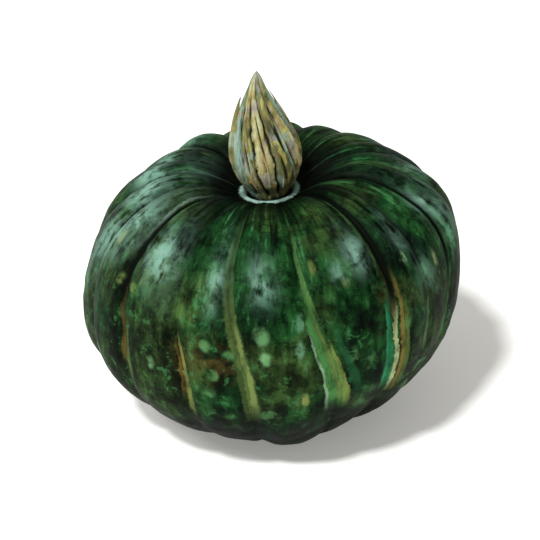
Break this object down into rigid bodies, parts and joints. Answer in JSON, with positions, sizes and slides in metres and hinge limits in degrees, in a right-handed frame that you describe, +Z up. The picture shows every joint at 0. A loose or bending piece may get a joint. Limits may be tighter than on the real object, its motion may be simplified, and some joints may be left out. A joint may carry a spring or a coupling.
{
  "type": "buttercup squash",
  "caption": "Whole buttercup squash: a flat-shouldered, unevenly ribbed dark green fruit with a pointed corky stem, standing on its blossom end.",
  "frame": {"origin": "middle of the flat blossom button on the underside, on the surface that the squash stands on", "axes": "+Z up through the stem; -Y is the front; +X is the side whose shoulder stands higher"},
  "size_m": [0.1682, 0.1646, 0.1642],
  "materials": {
    "rind": "waxy satin, dark green with paler streaks and flecks",
    "corky_stem": "dry, fibrous and matte"
  },
  "bodies": {
    "root": {"fruit": "rind", "stem": "corky_stem"}
  },
  "joints": []
}
